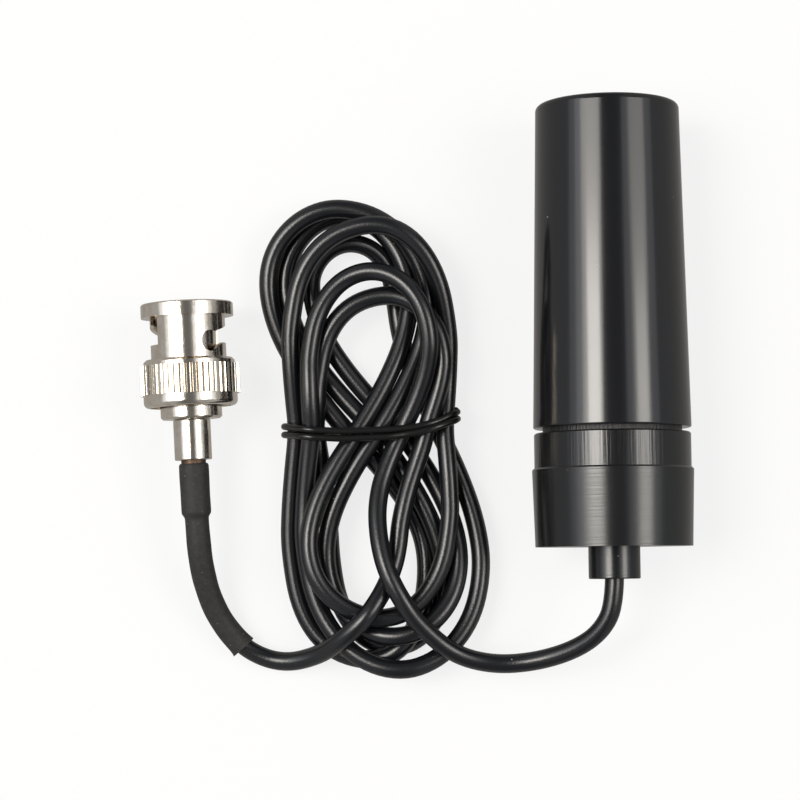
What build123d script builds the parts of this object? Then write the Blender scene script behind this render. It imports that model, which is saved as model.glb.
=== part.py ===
from build123d import *

import os
from math import asin, atan2, cos, hypot, pi, radians, sin, sqrt, tan

# pH electrode lying on a flat surface: a short probe with its storage cap on, a hanked
# coaxial cord and a bayonet plug. Millimetres, +Z up, origin under the middle of the probe,
# whose axis runs along Y with the closed end of the cap towards +Y.

# Clearances shared by all the pieces
fit_gap = 0.05
running_gap = 0.1
overrun = 1.0

# Storage cap
cap_length = 46.75
cap_mouth_diameter = 22.6
cap_taper = 1.95
cap_wall = 1.5
cap_mouth_wall = 1.3
cap_end_wall = 1.8
cap_edge_radius = 0.85
cap_lip_radius = 0.25

# Spigot, ring and shaft moulded as one barrel
spigot_in_cap = 5.8
cap_stand_off = 0.7
ring_step = 0.2
ring_length = 5.0
ring_edge = 0.2
shaft_wall = 1.3
shaft_length = 29.4
shaft_bore = 9.4
shaft_edge_radius = 0.6
rear_spigot_length = 6.0
rear_bore_step = 3.1

# Guard slots at the open end of the shaft
guard_slots = 4
guard_slot_width = 3.2
guard_slot_depth = 8.0

# Seal ring on the spigot
seal_section = 1.8
seal_from_ring = 3.4

# Glass stem and bulb
stem_diameter = 6.0
stem_wall = 0.7
bulb_diameter = 7.4
bulb_wall = 0.35
bulb_recess = 1.4
stem_rear_reach = 2.5

# Wires, junction, gel and seals inside
inner_wire_diameter = 0.7
inner_wire_to_bulb = 1.2
reference_wire_diameter = 0.6
reference_wire_rise = 3.85
reference_wire_join = 1.0
junction_from_tip = 9.2
junction_length = 2.4
gel_length = 15.0
gel_seal_length = 2.6
bung_length = 3.0

# Sponge at the bottom of the cap
sponge_slack = 0.85
sponge_length = 4.6

# Rear collar with its cable boss
collar_proud = 0.7
collar_taper = 0.65
collar_wall = 1.5
collar_chamber = 5.2
collar_end_wall = 1.8
collar_edge = 0.25
boss_diameter = 7.4
boss_length = 4.6
boss_edge = 0.2
potting_in_boss = 2.4

# Cord
cord_diameter = 2.75
cord_core_diameter = 1.5

# Hank of the cord: its outline follows its own length and width
hank_length = 70.3
hank_width = 32.4
hank_height = 10.6
hank_edge_radius = 3.0
hank_foot_radius = 1.1
hank_centre = (-34.2, -13.7)

# Tie round the hank
tie_section = 1.0
tie_pitch = 1.3
tie_gap = 0.3
tie_place = -12.2
tie_bend_radius = 1.6
tie_clear_height = 7.2
waist_left_share = 0.400
waist_right_share = 0.385
bridge_share = 0.9

# Bayonet coupling sleeve, from its front face backwards
plug_front_place = (-61.2, 6.3)
plug_lean = 2.23
rim_diameter = 13.4
rim_length = 2.0
neck_diameter = 10.9
neck_length = 6.1
sleeve_bore = 9.8
fore_ring_diameter = 13.2
fore_ring_length = 0.9
fore_ring_chamfer = 0.35
knurl_diameter = 14.5
knurl_wall = 1.45
knurl_depth = 0.32
knurl_length = 4.25
knurl_ribs = 52
knurl_valley_share = 0.5
shoulder_step = 0.9
shoulder_length = 1.8
shoulder_radius = 0.8
counterbore_from_front = 10.5
rim_edge = 0.2

# Bayonet tracks for the two studs of the socket
stud_slot_width = 2.2
stud_track_diameter = 11.5
lock_hole_diameter = 3.05
lock_hole_from_front = 5.8
lock_hole_angle = 41.5
track_sweep = 79.0
track_front_at_lock = 4.6
track_front_at_entry = 2.8
track_rear_at_lock = 6.95
track_rear_from_front = 6.0
track_bend_share = 0.41

# Retaining ring, thrust washer and bowed spring behind the plug's flange
flange_clearance = 0.15
flange_length = 1.2
spring_free_height = 1.5
spring_thickness = 0.25
washer_thickness = 0.5
retaining_ring_thickness = 0.55
retaining_ring_bore = 10.2
retaining_groove_depth = 0.4
retaining_ring_split = 1.2

# Plug body, gasket, insulator and pin
contact_diameter = 8.1
contact_bore = 6.6
contact_recess = 0.9
contact_slots = 4
contact_slot_width = 0.45
contact_slot_depth = 3.5
contact_edge = 0.25
gasket_diameter = 9.5
gasket_from_front = 8.3
gasket_length = 0.9
gasket_seat_rise = 0.2
barrel_diameter = 8.9
barrel_from_front = 16.8
barrel_chamfer = 0.3
body_end_wall = 2.3
spigot_tube_diameter = 3.0
spigot_tube_bore = 1.7
spigot_tube_length = 5.2
insulator_from_front = 5.2
pin_diameter = 1.35
pin_from_front = 1.2
pin_length = 13.7
pin_shank_diameter = 1.8
pin_tip_radius = 0.5
pin_collar_diameter = 2.6
pin_collar_from_front = 8.0
pin_collar_length = 1.0

# Crimp ferrule, braid and shrunk sleeve
ferrule_diameter = 5.4
ferrule_bore = 3.75
ferrule_length = 5.9
ferrule_edge = 0.2
braid_diameter = 3.6
braid_bore = 3.1
braid_show = 0.5
shrink_thick_diameter = 4.3
shrink_thick_length = 7.4
shrink_diameter = 3.5
shrink_bore_gap = 0.06

# Share of the shorter run that the arc at a corner takes
arc_share = 0.45

# Route of the cord from the boss to the hank: chosen by hand, in millimetres
probe_tail_reach = 3.4
probe_tail_route = [
    (-1.9, -41.6, 11.1),
    (-5.6, -44.3, 9.1),
    (-11.2, -46.1, 6.8),
    (-17.4, -46.5, 6.1),
    (-23.2, -44.8, 7.2),
]

# Route of the cord from the plug to the hank: chosen by hand, in millimetres
plug_tail_reach = 11.8
plug_tail_route = [
    (-59.0, -34.6, 4.7),
    (-56.9, -40.0, 2.7),
    (-53.2, -44.3, 1.9),
    (-47.9, -46.3, 2.2),
    (-42.5, -45.0, 4.6),
]
shrink_end_share = 0.66

# Sizes that follow from the mouth of the cap, the bore of the shaft and the knurled ring
cap_closed_diameter = cap_mouth_diameter - cap_taper
spigot_diameter = cap_mouth_diameter - 2 * (cap_mouth_wall + fit_gap)
sponge_diameter = cap_closed_diameter - 2 * cap_wall - sponge_slack
ring_diameter = cap_mouth_diameter - ring_step
collar_front_diameter = ring_diameter + collar_proud
collar_rear_diameter = collar_front_diameter - collar_taper
rear_spigot_diameter = collar_rear_diameter - 2 * collar_wall
rear_spigot_bore = shaft_bore + rear_bore_step
shaft_diameter = shaft_bore + 2 * shaft_wall
collar_length = rear_spigot_length + collar_chamber
counterbore_diameter = knurl_diameter - 2 * knurl_wall
shoulder_diameter = knurl_diameter - shoulder_step
flange_diameter = counterbore_diameter - 2 * flange_clearance

# The probe lies on the front edge of its collar and on the end rim of its cap
probe_length = cap_length + cap_stand_off + ring_length + collar_length + boss_length
cap_end_y = probe_length / 2
cap_mouth_y = cap_end_y - cap_length
ring_front_y = cap_mouth_y - cap_stand_off
ring_rear_y = ring_front_y - ring_length
collar_rear_y = ring_rear_y - collar_length
boss_end_y = collar_rear_y - boss_length
contact_y = ring_rear_y - collar_edge
contact_run = cap_end_y - cap_edge_radius - contact_y
contact_rise = collar_front_diameter / 2 - (cap_closed_diameter / 2 - cap_edge_radius)
probe_dip = atan2(contact_rise, contact_run) - asin(
    cap_edge_radius / hypot(contact_rise, contact_run)
)
probe_height = collar_front_diameter / 2 * cos(probe_dip) + contact_y * sin(probe_dip)
probe_direction = Vector(0, cos(probe_dip), -sin(probe_dip))
probe_plane = Plane(
    origin=(0, 0, probe_height), x_dir=(1, 0, 0), z_dir=(0, sin(probe_dip), cos(probe_dip))
)
probe_axis = Axis(probe_plane.origin, probe_direction)


def probe_station(y):
    """Plane across the probe at a distance along its axis, facing the closed end of the cap."""
    return Plane(
        origin=probe_plane.origin + probe_direction * y,
        x_dir=(1, 0, 0),
        z_dir=probe_direction,
    )


# Storage cap: a tapering cup with a counterbore for the spigot
cap_slope = (cap_mouth_diameter - cap_closed_diameter) / 2 / cap_length
cap_counterbore = spigot_diameter / 2 + fit_gap
cap_inner_end = cap_end_y - cap_end_wall
cap_step_y = cap_mouth_y + spigot_in_cap + running_gap


def cap_outer(y):
    """Outer radius of the cap at a distance along the axis."""
    return cap_mouth_diameter / 2 - cap_slope * (y - cap_mouth_y)


with BuildPart() as storage_cap:
    with BuildSketch(probe_plane):
        with BuildLine():
            Polyline(
                (cap_counterbore, cap_mouth_y),
                (cap_outer(cap_mouth_y), cap_mouth_y),
                (cap_outer(cap_end_y), cap_end_y),
                (0, cap_end_y),
                (0, cap_inner_end),
                (cap_outer(cap_inner_end) - cap_wall, cap_inner_end),
                (cap_outer(cap_step_y) - cap_wall, cap_step_y),
                (cap_counterbore, cap_step_y),
                close=True,
            )
        make_face()
    revolve(axis=probe_axis)
    rims = storage_cap.edges().filter_by(GeomType.CIRCLE).sort_by(probe_axis)
    fillet(rims[-1], cap_edge_radius)
    mouth_rims = storage_cap.edges().filter_by(GeomType.CIRCLE).group_by(probe_axis)[0]
    fillet(mouth_rims.sort_by(SortBy.RADIUS)[-1], cap_lip_radius)
storage_cap.part.label = "storage_cap"

# Sponge pressed into the bottom of the cap, which keeps the glass wet
sponge_front = cap_inner_end - sponge_length
with BuildPart() as storage_sponge:
    with BuildSketch(probe_station(sponge_front)):
        Circle(sponge_diameter / 2)
    extrude(amount=sponge_length)
storage_sponge.part.label = "storage_sponge"

# Barrel: spigot with its seal groove, outer ring, shaft and guard slots in one moulding
spigot_front = cap_mouth_y + spigot_in_cap
shaft_tip = spigot_front + shaft_length
groove_place = ring_front_y + seal_from_ring
groove_radius = spigot_diameter / 2 + fit_gap - seal_section
barrel_rear = ring_rear_y - rear_spigot_length
with BuildPart() as electrode_barrel:
    with BuildSketch(probe_plane):
        with BuildLine():
            Polyline(
                (shaft_bore / 2, shaft_tip),
                (shaft_diameter / 2, shaft_tip),
                (shaft_diameter / 2, spigot_front),
                (spigot_diameter / 2 - seal_section / 2, spigot_front),
                (spigot_diameter / 2, spigot_front - seal_section / 2),
                (spigot_diameter / 2, groove_place + seal_section / 2),
                (groove_radius, groove_place + seal_section / 2),
                (groove_radius, groove_place - seal_section / 2),
                (spigot_diameter / 2, groove_place - seal_section / 2),
                (spigot_diameter / 2, ring_front_y),
                (ring_diameter / 2 - ring_edge, ring_front_y),
                (ring_diameter / 2, ring_front_y - ring_edge),
                (ring_diameter / 2, ring_rear_y),
                (rear_spigot_diameter / 2, ring_rear_y),
                (rear_spigot_diameter / 2, barrel_rear),
                (rear_spigot_bore / 2, barrel_rear),
                (rear_spigot_bore / 2, ring_rear_y),
                (shaft_bore / 2, ring_rear_y),
                close=True,
            )
        make_face()
    revolve(axis=probe_axis)
    tip_rims = electrode_barrel.edges().filter_by(GeomType.CIRCLE).group_by(probe_axis)[-1]
    fillet(tip_rims.sort_by(SortBy.RADIUS)[-1], shaft_edge_radius)
    slot_round = guard_slot_width / 2
    with BuildSketch(Plane(probe_plane.origin, x_dir=(1, 0, 0), z_dir=probe_plane.z_dir)):
        with Locations((0, shaft_tip - guard_slot_depth + slot_round)):
            Circle(slot_round)
        with Locations((0, shaft_tip - (guard_slot_depth - slot_round - overrun) / 2)):
            Rectangle(guard_slot_width, guard_slot_depth - slot_round + overrun)
    first_slot = extrude(amount=shaft_diameter, mode=Mode.PRIVATE)
    for turn in range(guard_slots):
        slot_angle = (turn + 1 / 2) * 360 / guard_slots
        add(first_slot.rotate(probe_axis, slot_angle), mode=Mode.SUBTRACT)
electrode_barrel.part.label = "electrode_barrel"

# Seal ring in the groove of the spigot
with BuildPart() as cap_seal_ring:
    with BuildSketch(probe_plane):
        with Locations((groove_radius + seal_section / 2 - fit_gap / 2, groove_place)):
            Circle(seal_section / 2 - fit_gap)
    revolve(axis=probe_axis)
cap_seal_ring.part.label = "cap_seal_ring"

# Glass stem and bulb, blown as one piece
bulb_centre = shaft_tip - bulb_recess - bulb_diameter / 2
stem_inner = stem_diameter / 2 - stem_wall
bulb_inner = bulb_diameter / 2 - bulb_wall
bulb_join_outer = bulb_centre - sqrt(bulb_diameter ** 2 - stem_diameter ** 2) / 2
bulb_join_inner = bulb_centre - sqrt(bulb_inner ** 2 - stem_inner ** 2)
stem_rear = ring_rear_y - stem_rear_reach
with BuildPart() as glass_bulb:
    with BuildSketch(probe_plane):
        with BuildLine():
            ThreePointArc(
                (stem_diameter / 2, bulb_join_outer),
                (bulb_diameter / 2, bulb_centre),
                (0, bulb_centre + bulb_diameter / 2),
            )
            Line((0, bulb_centre + bulb_diameter / 2), (0, bulb_centre + bulb_inner))
            ThreePointArc(
                (0, bulb_centre + bulb_inner),
                (bulb_inner, bulb_centre),
                (stem_inner, bulb_join_inner),
            )
            Polyline(
                (stem_inner, bulb_join_inner),
                (stem_inner, stem_rear),
                (stem_diameter / 2, stem_rear),
                (stem_diameter / 2, bulb_join_outer),
            )
        make_face()
    revolve(axis=probe_axis)
glass_bulb.part.label = "glass_bulb"

# Silver wire from inside the bulb to the core of the cord
inner_wire_tip = bulb_centre - inner_wire_to_bulb
cord_start_y = boss_end_y + boss_length - potting_in_boss
with BuildPart() as inner_wire:
    with BuildSketch(probe_station(cord_start_y)):
        Circle(inner_wire_diameter / 2)
    extrude(amount=inner_wire_tip - cord_start_y)
inner_wire.part.label = "inner_wire"

# Rubber bung that closes the glass stem round the wire
with BuildPart() as stem_bung:
    with BuildSketch(probe_station(stem_rear)):
        Circle(stem_inner - fit_gap)
        Circle(inner_wire_diameter / 2 + fit_gap, mode=Mode.SUBTRACT)
    extrude(amount=bung_length)
stem_bung.part.label = "stem_bung"

# Porous reference junction between the stem and the shaft
junction_front = shaft_tip - junction_from_tip
junction_rear = junction_front - junction_length
with BuildPart() as reference_junction:
    with BuildSketch(probe_station(junction_rear)):
        Circle(shaft_bore / 2 - fit_gap)
        Circle(stem_diameter / 2 + fit_gap, mode=Mode.SUBTRACT)
    extrude(amount=junction_length)
reference_junction.part.label = "reference_junction"

# Reference wire: beside the stem in the gel, then in to the braid of the cord
gel_rear = junction_rear - gel_length
seal_rear = gel_rear - gel_seal_length
wire_bend_y = stem_rear - reference_wire_rise
wire_low_y = wire_bend_y - (reference_wire_rise - reference_wire_join)
with BuildPart() as reference_wire:
    with BuildLine(Plane.XY) as wire_path:
        FilletPolyline(
            probe_plane.from_local_coords(Vector(reference_wire_rise, junction_rear - fit_gap)),
            probe_plane.from_local_coords(Vector(reference_wire_rise, wire_bend_y)),
            probe_plane.from_local_coords(Vector(reference_wire_join, wire_low_y)),
            probe_plane.from_local_coords(Vector(reference_wire_join, cord_start_y)),
            radius=reference_wire_join,
        )
    wire_line = wire_path.wire()
    with BuildSketch(Plane(wire_line @ 0, z_dir=wire_line % 0)):
        Circle(reference_wire_diameter / 2)
    sweep(path=wire_line)
reference_wire.part.label = "reference_wire"


def wire_hole_pair(start, length):
    """Clearance round the reference wire, as a private cutter along the axis."""
    centre = probe_station(start)
    hole = Cylinder(
        reference_wire_diameter / 2 + fit_gap,
        length,
        align=(Align.CENTER, Align.CENTER, Align.MIN),
        mode=Mode.PRIVATE,
    )
    return centre * Pos(reference_wire_rise, 0, 0) * hole


# Reference gel round the stem
with BuildPart() as reference_gel:
    with BuildSketch(probe_station(gel_rear)):
        Circle(shaft_bore / 2 - fit_gap)
        Circle(stem_diameter / 2 + fit_gap, mode=Mode.SUBTRACT)
    extrude(amount=gel_length)
    add(wire_hole_pair(gel_rear - overrun, gel_length + 2 * overrun), mode=Mode.SUBTRACT)
reference_gel.part.label = "reference_gel"

# Rubber seal behind the gel
with BuildPart() as gel_seal:
    with BuildSketch(probe_station(seal_rear)):
        Circle(shaft_bore / 2 - fit_gap)
        Circle(stem_diameter / 2 + fit_gap, mode=Mode.SUBTRACT)
    extrude(amount=gel_seal_length)
    add(wire_hole_pair(seal_rear - overrun, gel_seal_length + 2 * overrun), mode=Mode.SUBTRACT)
gel_seal.part.label = "gel_seal"

# Rear collar: a turned shell with the cable boss on its end
collar_bore = rear_spigot_diameter / 2 + fit_gap
cord_hole = cord_diameter / 2 + fit_gap
collar_floor = collar_rear_y + collar_end_wall
with BuildPart() as rear_collar:
    with BuildSketch(probe_plane):
        with BuildLine():
            Polyline(
                (collar_bore, ring_rear_y),
                (collar_front_diameter / 2 - collar_edge, ring_rear_y),
                (collar_front_diameter / 2, ring_rear_y - collar_edge),
                (collar_rear_diameter / 2, collar_rear_y),
                (boss_diameter / 2, collar_rear_y),
                (boss_diameter / 2, boss_end_y),
                (cord_hole, boss_end_y),
                (cord_hole, collar_floor),
                (collar_bore, collar_floor),
                close=True,
            )
        make_face()
    revolve(axis=probe_axis)
    end_rims = rear_collar.edges().filter_by(GeomType.CIRCLE).group_by(probe_axis)[0]
    fillet(end_rims.sort_by(SortBy.RADIUS)[-1], boss_edge)
rear_collar.part.label = "rear_collar"

# Potting that fills the collar round the wires and holds the end of the cord
potting_radius = collar_bore - fit_gap
potting_front = barrel_rear - fit_gap
wire_clear = fit_gap + inner_wire_diameter / 2
with BuildPart() as rear_potting:
    with BuildSketch(probe_plane):
        with BuildLine():
            Polyline(
                (0, stem_rear - fit_gap),
                (rear_spigot_bore / 2 - fit_gap, stem_rear - fit_gap),
                (rear_spigot_bore / 2 - fit_gap, potting_front),
                (potting_radius, potting_front),
                (potting_radius, collar_floor + fit_gap),
                (cord_hole - fit_gap, collar_floor + fit_gap),
                (cord_hole - fit_gap, cord_start_y),
                (0, cord_start_y),
                close=True,
            )
        make_face()
    revolve(axis=probe_axis)
    with BuildSketch(probe_station(cord_start_y - overrun)):
        Circle(wire_clear)
    extrude(amount=stem_rear - cord_start_y + 2 * overrun, mode=Mode.SUBTRACT)
    with BuildSketch(Plane(wire_line @ 0, z_dir=wire_line % 0)):
        Circle(reference_wire_diameter / 2 + fit_gap)
    sweep(path=wire_line, mode=Mode.SUBTRACT)
rear_potting.part.label = "rear_potting"

# The plug lies level on its knurl; distances run back from the front face of its sleeve
lean = radians(plug_lean)
plug_direction = Vector(-sin(lean), cos(lean), 0)
plug_across = Vector(cos(lean), sin(lean), 0)
plug_origin = Vector(plug_front_place[0], plug_front_place[1], knurl_diameter / 2)
plug_plane = Plane(origin=plug_origin, x_dir=plug_across, z_dir=(0, 0, 1))
plug_axis = Axis(plug_origin, plug_direction)


def plug_station(back):
    """Plane across the plug at a distance behind its front face, facing backwards."""
    return Plane(
        origin=plug_origin - plug_direction * back,
        x_dir=plug_across,
        z_dir=-plug_direction,
    )


def stud_plane(back):
    """Plane on the plug axis, facing up, for a cutter the shape of the socket's stud."""
    return Plane(
        origin=plug_origin - plug_direction * back, x_dir=plug_direction, z_dir=(0, 0, 1)
    )


# Coupling sleeve: turned form, then bayonet tracks, ring groove and knurl
fore_ring_start = rim_length + neck_length
knurl_start = fore_ring_start + fore_ring_length
knurl_end = knurl_start + knurl_length
sleeve_end = knurl_end + shoulder_length
ring_groove_start = (
    counterbore_from_front + running_gap + flange_length + spring_free_height
    + washer_thickness + running_gap
)
ring_groove_end = ring_groove_start + retaining_ring_thickness + running_gap
ring_groove_radius = counterbore_diameter / 2 + retaining_groove_depth
with BuildPart() as coupling_sleeve:
    with BuildSketch(plug_plane):
        with BuildLine():
            Polyline(
                (sleeve_bore / 2, 0),
                (rim_diameter / 2 - rim_edge, 0),
                (rim_diameter / 2, -rim_edge),
                (rim_diameter / 2, -rim_length),
                (neck_diameter / 2, -rim_length),
                (neck_diameter / 2, -fore_ring_start),
                (fore_ring_diameter / 2 - fore_ring_chamfer, -fore_ring_start),
                (fore_ring_diameter / 2, -fore_ring_start - fore_ring_chamfer),
                (fore_ring_diameter / 2, -knurl_start),
                (knurl_diameter / 2, -knurl_start),
                (knurl_diameter / 2, -knurl_end),
                (shoulder_diameter / 2, -knurl_end),
                (shoulder_diameter / 2, -sleeve_end),
                (counterbore_diameter / 2, -sleeve_end),
                (counterbore_diameter / 2, -ring_groove_end),
                (ring_groove_radius, -ring_groove_end),
                (ring_groove_radius, -ring_groove_start),
                (counterbore_diameter / 2, -ring_groove_start),
                (counterbore_diameter / 2, -counterbore_from_front),
                (sleeve_bore / 2, -counterbore_from_front),
                close=True,
            )
        make_face()
    revolve(axis=plug_axis)
    rear_rims = coupling_sleeve.edges().filter_by(GeomType.CIRCLE).group_by(plug_axis)[0]
    fillet(rear_rims.sort_by(SortBy.RADIUS)[-1], shoulder_radius)

    # Valleys of the knurl, cut one by one round the axis
    rib_pitch = pi * knurl_diameter / knurl_ribs
    valley = rib_pitch * knurl_valley_share
    with BuildSketch(plug_station(knurl_start)):
        with Locations((0, knurl_diameter / 2)):
            Polygon(
                (-valley, knurl_depth),
                (valley, knurl_depth),
                (0, -knurl_depth),
                align=None,
            )
    first_valley = extrude(amount=knurl_length, mode=Mode.PRIVATE)
    valleys = [first_valley.rotate(plug_axis, rib * 360 / knurl_ribs) for rib in range(knurl_ribs)]
    add(Compound(children=valleys), mode=Mode.SUBTRACT)

    # Two bayonet tracks: an entry groove, a sloping ramp and a round lock hole
    track_reach = neck_diameter / 2 + overrun
    track_half = neck_diameter / 2 * sin(radians(track_sweep / 2))
    entry_angle = lock_hole_angle + track_sweep
    entry_length = track_rear_from_front + overrun
    with BuildSketch(stud_plane(0)):
        Polygon(
            (-track_front_at_lock, track_half),
            (-track_rear_at_lock, track_half),
            (-track_rear_from_front, track_half - 2 * track_half * track_bend_share),
            (-track_rear_from_front, -track_half),
            (-track_front_at_entry, -track_half),
            align=None,
        )
    ramp = extrude(amount=track_reach, mode=Mode.PRIVATE)
    lock_hole = stud_plane(lock_hole_from_front) * Cylinder(
        lock_hole_diameter / 2,
        track_reach,
        align=(Align.CENTER, Align.CENTER, Align.MIN),
        mode=Mode.PRIVATE,
    )
    entry = stud_plane(track_rear_from_front - entry_length / 2) * Box(
        entry_length,
        stud_slot_width,
        stud_track_diameter / 2,
        align=(Align.CENTER, Align.CENTER, Align.MIN),
        mode=Mode.PRIVATE,
    )
    for half_turn in (0, 180):
        ramp_angle = lock_hole_angle + track_sweep / 2 + half_turn
        add(lock_hole.rotate(plug_axis, lock_hole_angle + half_turn), mode=Mode.SUBTRACT)
        add(ramp.rotate(plug_axis, ramp_angle), mode=Mode.SUBTRACT)
        add(entry.rotate(plug_axis, entry_angle + half_turn), mode=Mode.SUBTRACT)
coupling_sleeve.part.label = "coupling_sleeve"

# Retaining ring sprung into the groove of the sleeve
with BuildPart() as retaining_ring:
    with BuildSketch(plug_station(ring_groove_start + running_gap / 2)):
        Circle(ring_groove_radius - fit_gap)
        Circle(retaining_ring_bore / 2, mode=Mode.SUBTRACT)
        with Locations((0, ring_groove_radius)):
            Rectangle(retaining_ring_split, ring_groove_radius, mode=Mode.SUBTRACT)
    extrude(amount=retaining_ring_thickness)
retaining_ring.part.label = "retaining_ring"

# Thrust washer that the retaining ring pushes forward
washer_bore_radius = barrel_diameter / 2 + running_gap
washer_outer_radius = counterbore_diameter / 2 - running_gap
flange_start = counterbore_from_front + running_gap
spring_start = flange_start + flange_length
washer_start = spring_start + spring_free_height
with BuildPart() as thrust_washer:
    with BuildSketch(plug_station(washer_start)):
        Circle(washer_outer_radius)
        Circle(washer_bore_radius, mode=Mode.SUBTRACT)
    extrude(amount=washer_thickness)
thrust_washer.part.label = "thrust_washer"

# Bowed spring washer between the flange and the thrust washer
spring_reach = washer_outer_radius - running_gap
bow = spring_free_height - spring_thickness - fit_gap
bow_radius = (spring_reach ** 2 + bow ** 2) / (2 * bow)
with BuildPart() as bowed_spring:
    with BuildSketch(plug_plane):
        with Locations((0, -spring_start - fit_gap / 2 - bow_radius)):
            Circle(bow_radius)
            Circle(bow_radius - spring_thickness, mode=Mode.SUBTRACT)
        with Locations((0, -spring_start - spring_free_height / 2)):
            Rectangle(2 * spring_reach, spring_free_height - fit_gap, mode=Mode.INTERSECT)
    extrude(amount=spring_reach, both=True)
    with BuildSketch(plug_station(spring_start)):
        Circle(spring_reach)
        Circle(washer_bore_radius + running_gap, mode=Mode.SUBTRACT)
    extrude(amount=spring_free_height, mode=Mode.INTERSECT)
bowed_spring.part.label = "bowed_spring"

# Plug body: slotted contact tube, gasket seat, flange, barrel and crimp spigot
body_floor = barrel_from_front - body_end_wall
gasket_end = gasket_from_front + gasket_length
spigot_tube_end = barrel_from_front + spigot_tube_length
with BuildPart() as plug_body:
    with BuildSketch(plug_plane):
        with BuildLine():
            Polyline(
                (contact_bore / 2, -contact_recess),
                (contact_diameter / 2 - contact_edge, -contact_recess),
                (contact_diameter / 2, -contact_recess - contact_edge),
                (contact_diameter / 2, -gasket_from_front),
                (contact_diameter / 2 + gasket_seat_rise, -gasket_from_front),
                (contact_diameter / 2 + gasket_seat_rise, -gasket_end),
                (gasket_diameter / 2, -gasket_end),
                (gasket_diameter / 2, -flange_start),
                (flange_diameter / 2, -flange_start),
                (flange_diameter / 2, -spring_start),
                (barrel_diameter / 2, -spring_start),
                (barrel_diameter / 2, -barrel_from_front + barrel_chamfer),
                (barrel_diameter / 2 - barrel_chamfer, -barrel_from_front),
                (spigot_tube_diameter / 2, -barrel_from_front),
                (spigot_tube_diameter / 2, -spigot_tube_end),
                (spigot_tube_bore / 2, -spigot_tube_end),
                (spigot_tube_bore / 2, -body_floor),
                (contact_bore / 2, -body_floor),
                close=True,
            )
        make_face()
    revolve(axis=plug_axis)
    with BuildSketch(plug_station(contact_recess - overrun)):
        with PolarLocations(0, contact_slots // 2, angular_range=180):
            Rectangle(contact_diameter + overrun, contact_slot_width)
    extrude(amount=contact_slot_depth + overrun, mode=Mode.SUBTRACT)
plug_body.part.label = "plug_body"

# Gasket that the end of the socket presses on
with BuildPart() as face_gasket:
    with BuildSketch(plug_station(gasket_from_front)):
        Circle(gasket_diameter / 2)
        Circle(contact_diameter / 2 + gasket_seat_rise + fit_gap, mode=Mode.SUBTRACT)
    extrude(amount=gasket_length)
face_gasket.part.label = "face_gasket"

# Insulator: a bored plug of the contact tube, stepped to fit the collar of the pin
pin_clear = pin_shank_diameter / 2 + fit_gap
collar_clear = pin_collar_diameter / 2 + fit_gap
pin_rear = pin_from_front + pin_length
pin_collar_end = pin_collar_from_front + pin_collar_length
with BuildPart() as plug_insulator:
    with BuildSketch(plug_plane):
        with BuildLine():
            Polyline(
                (pin_clear, -insulator_from_front),
                (contact_bore / 2 - fit_gap, -insulator_from_front),
                (contact_bore / 2 - fit_gap, -body_floor + fit_gap),
                (collar_clear, -body_floor + fit_gap),
                (collar_clear, -pin_collar_from_front + fit_gap),
                (pin_clear, -pin_collar_from_front + fit_gap),
                close=True,
            )
        make_face()
    revolve(axis=plug_axis)
plug_insulator.part.label = "plug_insulator"

# Centre pin with a rounded tip and a collar
with BuildPart() as centre_pin:
    with BuildSketch(plug_plane):
        with BuildLine():
            Polyline(
                (0, -pin_from_front),
                (pin_diameter / 2, -pin_from_front),
                (pin_diameter / 2, -insulator_from_front),
                (pin_shank_diameter / 2, -insulator_from_front),
                (pin_shank_diameter / 2, -pin_collar_from_front),
                (pin_collar_diameter / 2, -pin_collar_from_front),
                (pin_collar_diameter / 2, -pin_collar_end),
                (cord_core_diameter / 2, -pin_collar_end),
                (cord_core_diameter / 2, -pin_rear),
                (0, -pin_rear),
                close=True,
            )
        make_face()
    revolve(axis=plug_axis)
    tip = centre_pin.edges().filter_by(GeomType.CIRCLE).sort_by(plug_axis)[-1]
    fillet(tip, pin_tip_radius)
centre_pin.part.label = "centre_pin"

# Core of the cord, bared from its jacket through the spigot to the pin
plug_cord_start = spigot_tube_end + fit_gap
with BuildPart() as cord_core:
    with BuildSketch(plug_station(pin_rear)):
        Circle(cord_core_diameter / 2)
    extrude(amount=plug_cord_start - pin_rear)
cord_core.part.label = "cord_core"

# Braid of the cord, spread over the spigot and the end of the jacket
braid_start = barrel_from_front + braid_show
ferrule_end = barrel_from_front + fit_gap + ferrule_length
braid_end = ferrule_end + braid_show
with BuildPart() as shield_braid:
    with BuildSketch(plug_station(braid_start)):
        Circle(braid_diameter / 2)
        Circle(braid_bore / 2, mode=Mode.SUBTRACT)
    extrude(amount=braid_end - braid_start)
shield_braid.part.label = "shield_braid"

# Crimp ferrule round the braid
with BuildPart() as crimp_ferrule:
    with BuildSketch(plug_station(barrel_from_front + fit_gap)):
        Circle(ferrule_diameter / 2)
        Circle(ferrule_bore / 2, mode=Mode.SUBTRACT)
    extrude(amount=ferrule_length)
    ferrule_rims = crimp_ferrule.edges().filter_by(GeomType.CIRCLE)
    fillet(ferrule_rims.sort_by(SortBy.RADIUS)[-2:], ferrule_edge)
crimp_ferrule.part.label = "crimp_ferrule"

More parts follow.
